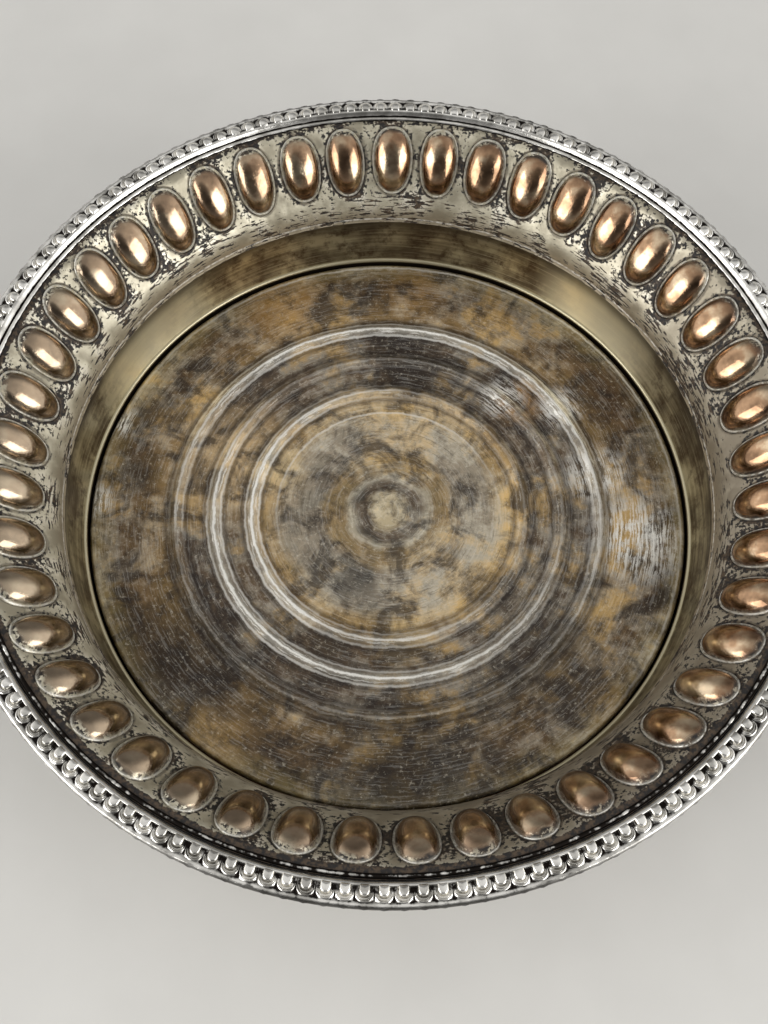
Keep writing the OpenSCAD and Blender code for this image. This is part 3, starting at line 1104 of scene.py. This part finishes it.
@dataclass(frozen=True)
class SatinPlate(Finish):
    """Silver plate worn thin and gone olive gold with tarnish, rubbed round and round in use, with
    two painted highlights, a painted highlight along the lip, and painted shade under the nosing
    and below the lip.
    """

    tones: tuple[str, str, str] = ("#5F533F", "#91866A", "#BDB393")
    stain: str = "#4A3826"
    shade: str = "#362C22"
    nose: str = "#8F826C"
    # Pale tone of the fine scratches, also painted along the lip as a highlight
    lip: str = "#B3AA8E"
    highlight_tone: str = "#EFE7C8"
    nose_z: float = 20.1
    lip_z: float = 8.9
    # Azimuths of the two painted highlights, and how far off they fade out
    highlight_ways: tuple[float, ...] = (146.0, 45.0)
    fade: float = 17.0

    def surface(self, add: Add, mm: Node) -> dict[str, object]:
        """Works out what the surface shader gets, as in Finish."""
        # Rubbed streaks, 0.8 mm high and some 30 mm long, and scratches 0.25 mm high
        drawn = add("VectorMath MULTIPLY", mm, (1 / 30, 1 / 30, 1 / 0.8))
        streaks = add("TexNoise", drawn, 1.0, 5.0)
        fine = add("VectorMath MULTIPLY", mm, (1 / 12, 1 / 12, 1 / 0.25))
        fine = add("MapRange", add("TexNoise", fine, 1.0, 3.0), 0.58, 0.66, 0.0, 0.5)
        both = add("Mix FLOAT", 0.32, add("TexNoise", mm, 1 / 8, 5.0), streaks)
        # Brown stains of some 3 mm
        stained = add("MapRange", add("TexNoise", mm, 1 / 3, 7.0, 0.7), 0.48, 0.64, 0.0, 0.85)
        # Two painted highlights, each fading out from its azimuth
        highlight_mask = 0.0
        for azimuth in self.highlight_ways:
            toward = add("MapRange SMOOTHSTEP", self.facing(add, mm, azimuth),
                         math.cos(math.radians(self.fade)), 1.0, 0.0, 0.8)
            highlight_mask = add("Math MAXIMUM", highlight_mask, toward)
        tone = add("ValToRGB", both, stops=tuple(zip((0.4, 0.5, 0.6), self.tones)))
        for part, code in ((stained, self.stain), (fine, self.lip), (highlight_mask, self.highlight_tone)):
            tone = add("Mix RGBA", part, tone, code)
        level = add("SeparateXYZ", mm).outputs[2]
        # Painted shade under the nosing, the nosing's own line, a painted highlight along the lip, and
        # painted shade below the lip for the gap by the floor plate, which also darkens the outside of the
        # foot
        for low, high, code, most in (
            (self.nose_z - 4.5, self.nose_z - 0.8, self.shade, 0.7),
            (self.nose_z - 0.6, self.nose_z - 0.1, self.nose, 1.0),
            (self.lip_z + 0.3, self.lip_z, self.lip, 1.0),
            (self.lip_z - 0.35, self.lip_z - 0.8, self.shade, 1.0),
        ):
            part = add("MapRange SMOOTHSTEP", level, low, high, 0.0, most)
            tone = add("Mix RGBA", part, tone, code)
        return {
            "Base Color": tone,
            "Metallic": 0.85,
            "Roughness": add("MapRange", both, 0.38, 0.62, 0.42, 0.28),
            "Normal": add("Bump", Strength=0.12, Distance=0.12 * MM, Height=streaks),
        }


@dataclass(frozen=True)
class TarnishedFloor(Finish):
    """Silver plate rubbed through by bottles: brown and amber tarnish in rings, white metal and
    painted highlights on the crests with painted shade beside them, painted shade along the near
    side, and fine scratches that run mostly round the plate."""

    # Outer radius and colour of each zone
    zones: tuple[tuple[float, str], ...] = (
        (2.4, "#F4E2B8"), (4.6, "#4A4237"), (6.4, "#766D5E"), (7.6, "#E2D8BE"), (9.0, "#B59C6E"),
        (12.0, "#C9AC78"), (14.0, "#B8AD98"), (20.5, "#C6BBA4"), (23.8, "#DCBB80"), (26.0, "#CEA969"),
        (29.0, "#5E4E39"), (34.0, "#6A5A46"), (41.0, "#564B3E"), (46.0, "#A88954"), (50.0, "#8A6F46"),
        (54.0, "#6A5436"), (58.5, "#A8945F"),
    )
    clouds: tuple[str, str, str, str] = ("#150F0A", "#66513A", "#B3AA98", "#DCB778")
    grime: str = "#261D17"
    fleck: str = "#D6CDB9"
    crest_wear_and_sheen: str = "#C2BDAE"
    bright: str = "#F4F1E8"
    reach: float = 60.0
    # Radius of each crest, the azimuth where its painted highlight is strongest, and how much it is hazed
    crests: tuple[Triple, ...] = (
        (22.4, 110.0, 0.0), (27.4, 200.0, 1.0), (35.0, 235.0, 1.0), (42.6, 80.0, 1.0),
        (58.6, 60.0, 0.2)
    )
    # Place, reach, colour and strength of the larger stains; the two large dark ones at (-36, -36) and (6,
    # -54) are painted shade along the near side
    stains: tuple[tuple[float, float, float, str, float], ...] = (
        (-31.0, 10.0, 19.0, "#D9B987", 0.75), (4.0, 33.0, 13.0, "#1C140E", 0.7),
        (-36.0, -36.0, 22.0, "#1E150E", 0.8), (6.0, -54.0, 26.0, "#120C08", 0.85),
        (32.0, -30.0, 20.0, "#241A12", 0.7), (48.0, 30.0, 13.0, "#4A3018", 0.6),
        (-24.0, 48.0, 15.0, "#B58B4A", 0.6), (-6.0, -15.0, 9.0, "#3C3C3A", 0.7),
        (3.0, -27.0, 8.0, "#CFAF72", 0.7), (-52.0, 6.0, 8.0, "#231A12", 0.7),
        (27.0, 26.0, 8.0, "#C2914E", 0.6), (20.0, -17.0, 9.0, "#352B21", 0.65),
        (-23.0, 9.0, 8.0, "#E0C898", 0.6), (22.0, -38.0, 10.0, "#1C140E", 0.6),
        (-30.0, -47.0, 9.0, "#B59258", 0.6), (4.0, 53.0, 10.0, "#A58048", 0.5),
        (42.0, -38.0, 9.0, "#957846", 0.55),
    )
    # Place and reach of each scraped patch
    scrapes: tuple[Triple, ...] = (
        (23.0, 27.0, 6.0), (42.0, 10.0, 8.0), (35.0, 25.0, 6.0), (50.0, -4.0, 12.0),
        (-59.0, 0.0, 5.0), (-56.0, 18.0, 5.0)
    )

    def surface(self, add: Add, mm: Node) -> dict[str, object]:
        """Works out what the surface shader gets, as in Finish."""
        flat = add("VectorMath MULTIPLY", mm, (1, 1, 0))
        radius = add("VectorMath LENGTH", flat)
        # The zones wander by a millimetre or two
        drift = add("Math MULTIPLY_ADD", add("TexNoise", mm, 1 / 6, 6.0, 0.6), 6.0, -3.0)
        share = add("Math DIVIDE", add("Math ADD", radius, drift), self.reach)
        zone = add("ValToRGB", share, stops=[(r / self.reach, code) for r, code in self.zones])
        # Clouds of tarnish some 15 mm across
        clouds = add("TexNoise", mm, 1 / 15, 8.0, 0.66)
        warm = add("ValToRGB", clouds, stops=tuple(zip((0.4, 0.475, 0.535, 0.61), self.clouds)))
        tone = add("Mix RGBA", 0.5, zone, warm)
        grime = add("TexNoise", mm, 1 / 3, 8.0, 0.75)
        for x, y, reach, code, strength in self.stains:
            away = add("VectorMath DISTANCE", flat, (x, y, 0.0))
            away = add("Math MULTIPLY_ADD", grime, -0.9 * reach, away)
            away = add("MapRange SMOOTHSTEP", away, -0.3 * reach, 0.5 * reach, strength, 0.0)
            tone = add("Mix RGBA", away, tone, code)
        # Dark blots of 8 mm and of 3 mm, and pale flecks of a millimetre
        blots = add("TexNoise", mm, 1 / 8, 8.0, 0.62, Distortion=0.6)
        flecks = add("TexNoise", mm, 1 / 0.9, 6.0, 0.8)
        for noisy, low, high, most, code in (
            (blots, 0.48, 0.61, 0.8, self.grime), (grime, 0.49, 0.65, 0.55, self.grime),
            (flecks, 0.56, 0.66, 0.5, self.fleck),
        ):
            tone = add("Mix RGBA", add("MapRange", noisy, low, high, 0.0, most), tone, code)
        # Scratches that follow the rings: noise drawn out along the circle
        slow = add("SeparateXYZ", add("VectorMath SCALE", flat, 1 / 5))
        bent = add("Math MULTIPLY_ADD", grime, 1.2, radius)
        ringed = add("Math MULTIPLY", bent, 3.2)
        spun = add("CombineXYZ", slow.outputs[0], slow.outputs[1], ringed)
        lathe = add("TexNoise", spun, 1.0, 5.0, 0.65)
        scratch = add("MapRange", lathe, 0.53, 0.6)
        dirt = add("MapRange", lathe, 0.42, 0.35, 0.0, 0.4)
        # Bottles rubbed each crest white, and a painted highlight lies on it, strongest toward one
        # azimuth; a line of painted shade, in the grime's tone, runs beside it
        worn, foot, drawn = 0.0, 0.0, 0.0
        for at, azimuth, hazed in self.crests:
            side = add("Math MULTIPLY_ADD", clouds, 2.2, self.facing(add, mm, azimuth))
            side = add("MapRange", side, 0.7, 2.0, 0.12, 1.0)
            away = add("Math ABSOLUTE", add("Math ADD", bent, -at - 0.6))
            crest = add("MapRange", away, 0.2, 1.5, hazed, 0.0)
            worn = add("Math MAXIMUM", worn, add("Math MULTIPLY", crest, side))
            for off, level in ((0.0, 0.4 + 0.6 * hazed), (1.35, 0.5 * hazed)):
                line = add("Math MULTIPLY", self.line(add, away, off, (0.1, 0.34), level), side)
                drawn = add("Math MAXIMUM", drawn, line)
            foot = add("Math MAXIMUM", foot, self.line(add, away, 2.0, (0.1, 0.9), 0.55 * hazed))
        # The line beside each crest is painted shade; the haze on the crests is wear and painted sheen
        for part, code in (
            (dirt, self.grime), (foot, self.grime), (add("Math MULTIPLY", worn, 0.45), self.crest_wear_and_sheen)
        ):
            tone = add("Mix RGBA", part, tone, code)
        white = add("Math MULTIPLY_ADD", worn, 0.9, 0.12)
        rubbed = add("Math MAXIMUM", add("Math MULTIPLY", worn, 0.12), scratch)
        white = add("Math MULTIPLY", white, rubbed, use_clamp=True)
        white = add("Math MAXIMUM", white, drawn)
        torn = add("MapRange", add("Mix FLOAT", 0.6, grime, lathe), 0.46, 0.55)
        for x, y, reach in self.scrapes:
            away = add("VectorMath DISTANCE", flat, (x, y, 0.0))
            away = add("MapRange", away, reach * 0.3, reach, 0.85, 0.0)
            white = add("Math MAXIMUM", white, add("Math MULTIPLY", away, torn))
        dull = add("MapRange", clouds, 0.35, 0.65, 0.5, 0.34)
        height = add("Math MULTIPLY_ADD", lathe, 0.5, add("TexNoise", mm, 1 / 1.2, 4.0))
        return {
            "Base Color": add("Mix RGBA", white, tone, self.bright),
            "Metallic": 0.5,
            "Roughness": add("Mix FLOAT", white, dull, 0.28),
            "Normal": add("Bump", Strength=0.5, Distance=0.2 * MM, Height=height),
        }


@dataclass(frozen=True)
class BrightSilver(Finish):
    """Silver left bright by handling, stamped or drawn: white on every high place and on the
    outer edge, black with old tarnish and painted shade down in the pattern."""

    low_z: float = 36.78
    high_z: float = 36.9
    edge_r: float = 79.35
    # How much lower the bright band reaches on the far side, as a painted highlight
    far_side_highlight: float = 0.0
    bright: tuple[str, str] = ("#B4B1AA", "#ECE9E2")
    # Black of the old tarnish and the painted shade down in the pattern
    dark: str = "#1C1815"

    def surface(self, add: Add, mm: Node) -> dict[str, object]:
        """Works out what the surface shader gets, as in Finish."""
        grime = add("TexNoise", mm, 1 / 1.3, 6.0, 0.6)
        high = add("Math ADD", add("SeparateXYZ", mm).outputs[2],
                   add("Math MULTIPLY_ADD", grime, -0.5, 0.25))
        # A painted highlight: on the far side the bright band reaches lower
        far = add("MapRange", self.facing(add, mm, 90.0), -0.6, 0.1, 0.0, self.far_side_highlight)
        high = add("Math ADD", high, far)
        # Black below a height: old tarnish and painted shade in the pattern's recesses
        clean_and_lit = add("MapRange SMOOTHSTEP", high, self.low_z, self.high_z)
        # The outer edge is bright, and painted shade darkens it at the near and far sides
        reach = add("VectorMath LENGTH", add("VectorMath MULTIPLY", mm, (1, 1, 0)))
        near = add("Math ABSOLUTE", self.facing(add, mm, -90.0))
        near = add("MapRange", near, 0.75, 0.97, 0.85, 0.15)
        edge = add("MapRange", reach, self.edge_r - 0.2, self.edge_r + 0.2, 0.0, near)
        clean_and_lit = add("Math MAXIMUM", clean_and_lit, edge)
        spots = add("TexNoise", mm, 1 / 4.0, 5.0)
        silver = add("ValToRGB", spots, stops=tuple(zip((0.38, 0.55), self.bright)))
        return {
            "Base Color": add("Mix RGBA", clean_and_lit, self.dark, silver),
            "Metallic": 0.95,
            "Roughness": add("MapRange", clean_and_lit, 0.0, 1.0, 0.45, 0.2),
            "Normal": add("Bump", Strength=0.25, Distance=0.1 * MM, Height=grime),
        }


@dataclass(frozen=True)
class TurnedWood(Finish):
    """Hardwood turned on the lathe and stained brown, with its grain in long lines."""

    def surface(self, add: Add, mm: Node) -> dict[str, object]:
        """Works out what the surface shader gets, as in Finish."""
        # Rings of growth some 2 mm apart, drawn out along the board
        drawn = add("VectorMath MULTIPLY", mm, (1 / 2, 1 / 40, 1 / 2))
        grain = add("TexNoise", drawn, 1.0, 6.0)
        return {
            "Base Color": add("ValToRGB", grain, stops=((0.35, "#4A2816"), (0.65, "#8A5432"))),
            "Roughness": 0.5,
            "Normal": add("Bump", Strength=0.3, Distance=0.1 * MM, Height=grain),
        }


@dataclass(frozen=True)
class Baize(Finish):
    """Green wool baize: a napped felt of matted fibres, paler where it is rubbed."""

    def surface(self, add: Add, mm: Node) -> dict[str, object]:
        """Works out what the surface shader gets, as in Finish."""
        # Matted fibres, drawn 0.5 mm wide so that they show
        nap = add("TexNoise", mm, 1 / 0.5, 6.0, Distortion=1.5)
        both = add("Math ADD", nap, add("TexNoise", mm, 1 / 14, 4.0))
        both = add("Math MULTIPLY", both, 0.5)
        tones = ((0.36, "#1F3A2A"), (0.5, "#2F5A40"), (0.66, "#557A5E"))
        return {
            "Base Color": add("ValToRGB", both, stops=tones),
            "Roughness": 0.95,
            "Sheen Weight": 0.5,
            "Normal": add("Bump", Strength=0.7, Distance=0.25 * MM, Height=nap),
        }


@dataclass(frozen=True)
class PaintedBoard(Finish):
    """Pale painted board under the coaster, with faint clouds some 17 mm across."""

    def surface(self, add: Add, mm: Node) -> dict[str, object]:
        """Works out what the surface shader gets, as in Finish."""
        clouds = add("TexNoise", mm, 0.06, 6.0)
        return {
            "Base Color": add("ValToRGB", clouds, stops=((0.3, "#C6C4BF"), (0.7, "#CAC8C3"))),
            "Roughness": 0.8,
        }


@dataclass
class Studio:
    """A pale floor, a soft room with a dark card by the camera, two soft boxes and the camera."""

    floor_m: float = 6.0
    focal_px: float = 1243.6
    frame_px: int = 1024
    sensor_w: float = 36.0
    eye: Triple = (0.0, -102.2, 236.3)
    target: Triple = (-0.84, -0.3, 8.0)
    roll: float = 1.638
    room_level: float = 1.5
    ahead_level: float = 0.22
    # Way to the middle of the dark card, cosines where it begins and is full, and its level
    card: Triple = (0.0, -0.75, 0.66)
    card_cosines: Point = (0.8, 0.95)
    card_level: float = 0.34
    # Name, azimuth, rise and distance of each soft box, its sides and its power
    boxes: tuple[tuple[str, float, float, float, Point, float], ...] = (
        ("soft_box_left", 212.0, 26.0, 0.9, (0.7, 0.5), 4.5),
        ("soft_box_right", -30.0, 26.0, 0.9, (0.7, 0.5), 4.5),
    )

    def floor(self) -> None:
        """Lays the pale floor."""
        deselect()
        bpy.ops.mesh.primitive_plane_add(size=self.floor_m, location=(0, 0, 0))
        ground = bpy.context.object
        ground.name = "studio_floor"
        ground.data.materials.append(PaintedBoard("pale_painted_board").build())

    def light(self) -> None:
        """Lights the object from a soft room, under a dark card, and from two soft boxes."""
        world = bpy.data.worlds.new("soft_room")
        bpy.context.scene.world = world
        world.use_nodes = True
        tree = world.node_tree
        add = partial(add_node, tree)
        toward = add("TexCoord").outputs["Generated"]
        glow = add("ValToRGB", add("SeparateXYZ", toward).outputs[2], stops=(
            (0.0, "#FFFFFF"), (0.35, "#F4F4F4"), (0.7, "#D0D0D0"), (1.0, "#B8B8B8")))
        card = add("MapRange SMOOTHSTEP", add("VectorMath DOT_PRODUCT", toward, self.card),
                   *self.card_cosines, 1.0, self.card_level)
        # The room is brightest at its two sides and overhead
        square = add("VectorMath MULTIPLY", toward, toward)
        sides = add("VectorMath DOT_PRODUCT", square, (1.0, 0.0, 0.8))
        sides = add("MapRange SMOOTHSTEP", sides, 0.25, 0.8, self.ahead_level, 1.0)
        glow = add("VectorMath SCALE", glow, add("Math MULTIPLY", card, sides))
        back = tree.nodes["Background"]
        tree.links.new(glow.outputs[0], back.inputs["Color"])
        back.inputs["Strength"].default_value = self.room_level
        for name, azimuth, rise, away, size, power in self.boxes:
            lamp = bpy.data.lights.new(name, "AREA")
            lamp.shape, lamp.size, lamp.size_y, lamp.energy = "RECTANGLE", *size, power
            holder = bpy.data.objects.new(name, lamp)
            bpy.context.scene.collection.objects.link(holder)
            turn, up = math.radians(azimuth), math.radians(rise)
            at = Vector((math.cos(turn) * math.cos(up), math.sin(turn) * math.cos(up), math.sin(up)))
            holder.location = at * away
            holder.rotation_euler = (-at).to_track_quat("-Z", "Y").to_euler()

    def camera(self) -> None:
        """Sets the camera where the photograph's was, with its lens and its slight roll."""
        lens = bpy.data.cameras.new("photograph_camera")
        lens.sensor_width = self.sensor_w
        lens.lens = self.focal_px * self.sensor_w / self.frame_px
        lens.clip_start = 0.01
        holder = bpy.data.objects.new("photograph_camera", lens)
        bpy.context.scene.collection.objects.link(holder)
        eye, target = Vector(self.eye) * MM, Vector(self.target) * MM
        look = (target - eye).to_track_quat("-Z", "Y").to_matrix().to_4x4()
        holder.matrix_world = Matrix.Translation(eye) @ look @ Matrix.Rotation(
            math.radians(self.roll), 4, "Z")
        bpy.context.scene.camera = holder


def main() -> None:
    """Sets up the studio and builds the coaster's parts in order."""
    logging.basicConfig(level=logging.INFO, format="%(message)s")
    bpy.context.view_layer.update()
    bpy.context.scene.view_settings.view_transform = "Standard"
    studio = Studio()
    studio.camera()
    studio.floor()
    studio.light()
    for part in (Gallery(), FloorPlate(), Rim(), Underside()):
        part.build()


if __name__ == "__main__":
    main()
